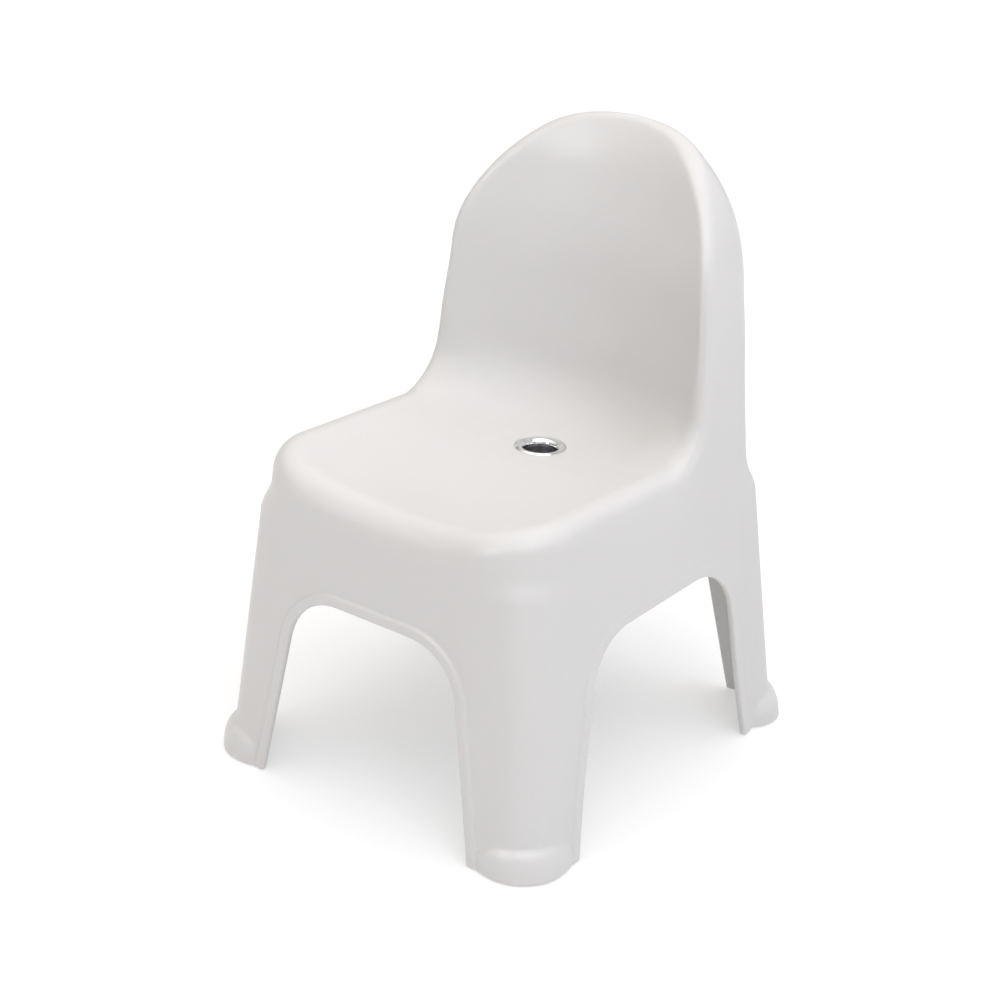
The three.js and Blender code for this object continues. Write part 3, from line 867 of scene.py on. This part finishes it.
def retainer_section():
    """A flat washer under the boss, with small bevels."""
    inner, outer = BARREL_R + GAP, RETAINER_R
    top = -WALL - BOSS_H - GAP
    bottom = top - RETAINER_H
    return [
        (inner, bottom + 0.2), (inner + 0.2, bottom), (outer - 0.5, bottom), (outer - 0.15, bottom + 0.1),
        (outer, bottom + 0.4), (outer, top - 0.15), (outer - 0.15, top), (inner + 0.2, top),
        (inner, top - 0.2),
    ]


add_piece("shell", build_shell(), plastic(), "moulded_shell", sharp=50)
ring_mesh = turned("ring", ring_section(), RING_SEGMENTS)
retainer_mesh = turned("retainer", retainer_section(), RETAINER_SEGMENTS)
add_piece("drain_ring_polished", ring_mesh, chrome(), "drain_ring", sharp=40)
add_piece("retainer_pressing", retainer_mesh, steel(), "ring_retainer", sharp=40)

pad_rubber = rubber()
for name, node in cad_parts.items():
    if name.startswith("foot_pad"):
        node.data.materials.clear()
        node.data.materials.append(pad_rubber)

# ---- Stage, light and camera, in metres ----
FLOOR_HALF, FLOOR_Z = 30, -0.0001
SKY_LEFT, SKY_RIGHT = (0.91, 0.862, 0.797, 1), (0.97, 1.0, 1.09, 1)
SKY_TINT_SPAN = -0.6, 0.8
SKY_HORIZON, SKY_OVERHEAD, SKY_POWER = 0.15, 2.35, 2.0
EYE, TARGET = Vector((0.6766, -0.9161, 0.6744)), Vector((-0.0081, -0.0009, 0.1553))
CAMERA_LENS, CAMERA_SENSOR, CAMERA_ROLL = 74.376, 36, math.radians(1.82)

floor_mesh = bpy.data.meshes.new("floor")
signs = (-1, -1), (1, -1), (1, 1), (-1, 1)
floor_corners = [(x * FLOOR_HALF, y * FLOOR_HALF, FLOOR_Z) for x, y in signs]
floor_mesh.from_pydata(floor_corners, [], [(0, 1, 2, 3)])
floor_mesh.materials.append(floor_paint())
floor = bpy.data.objects.new("floor", floor_mesh)
bpy.context.scene.collection.objects.link(floor)


def studio_sky():
    """Brighter overhead than at the horizon, a little warm on the left and cool on the right."""
    world = bpy.data.worlds.new("studio")
    world.use_nodes = True
    tree = world.node_tree
    background = tree.nodes["Background"]
    direction = tree.nodes.new("ShaderNodeSeparateXYZ")
    tree.links.new(tree.nodes.new("ShaderNodeTexCoord").outputs["Generated"], direction.inputs[0])
    across = tree.nodes.new("ShaderNodeMapRange")
    across.inputs["From Min"].default_value, across.inputs["From Max"].default_value = SKY_TINT_SPAN
    tree.links.new(direction.outputs["X"], across.inputs["Value"])
    tint = tree.nodes.new("ShaderNodeMix")
    tint.data_type = "RGBA"
    tint.inputs["A"].default_value, tint.inputs["B"].default_value = SKY_LEFT, SKY_RIGHT
    tree.links.new(across.outputs["Result"], tint.inputs["Factor"])
    tree.links.new(tint.outputs["Result"], background.inputs["Color"])
    upward = tree.nodes.new("ShaderNodeMath")
    upward.operation, upward.use_clamp = "POWER", True
    upward.inputs[1].default_value = SKY_POWER
    tree.links.new(direction.outputs["Z"], upward.inputs[0])
    strength = tree.nodes.new("ShaderNodeMapRange")
    strength.inputs["To Min"].default_value = SKY_HORIZON
    strength.inputs["To Max"].default_value = SKY_OVERHEAD
    tree.links.new(upward.outputs[0], strength.inputs["Value"])
    tree.links.new(strength.outputs["Result"], background.inputs["Strength"])
    return world


def softbox(name, place, aim, size, watts, diffuse=True, spread=180):
    """A square lamp. Without `diffuse` it gives highlights only."""
    lamp = bpy.data.lights.new(name, "AREA")
    lamp.shape, lamp.size, lamp.energy = "SQUARE", size, watts
    lamp.spread = math.radians(spread)
    box = bpy.data.objects.new(name, lamp)
    box.location = place
    box.visible_diffuse = diffuse
    box.rotation_euler = (Vector(aim) - Vector(place)).to_track_quat("-Z", "Y").to_euler()
    bpy.context.scene.collection.objects.link(box)


bpy.context.scene.world = studio_sky()
softbox("window", (-0.33, -1.37, 1.04), (0, 0, 0.3), size=0.35, watts=5.0, diffuse=False)
softbox("key", (0.87, -0.73, 1.46), (0, 0, 0.2), size=1.0, watts=6.5)
softbox("seat_fill", (0.88, -0.54, 1.2), (-0.03, 0.07, 0.27), size=0.2, watts=0.02, spread=14)
softbox("right", (1.42, 0.45, 0.88), (0, 0, 0.2), size=1.0, watts=1.2)

camera_data = bpy.data.cameras.new("camera")
camera_data.sensor_width, camera_data.lens = CAMERA_SENSOR, CAMERA_LENS
camera = bpy.data.objects.new("camera", camera_data)
camera.location = EYE
aim = (TARGET - EYE).to_track_quat("-Z", "Y").to_matrix()
camera.rotation_euler = (aim @ Matrix.Rotation(CAMERA_ROLL, 3, "Z")).to_euler()
bpy.context.scene.collection.objects.link(camera)
bpy.context.scene.camera = camera
bpy.context.scene.view_settings.view_transform = "Standard"
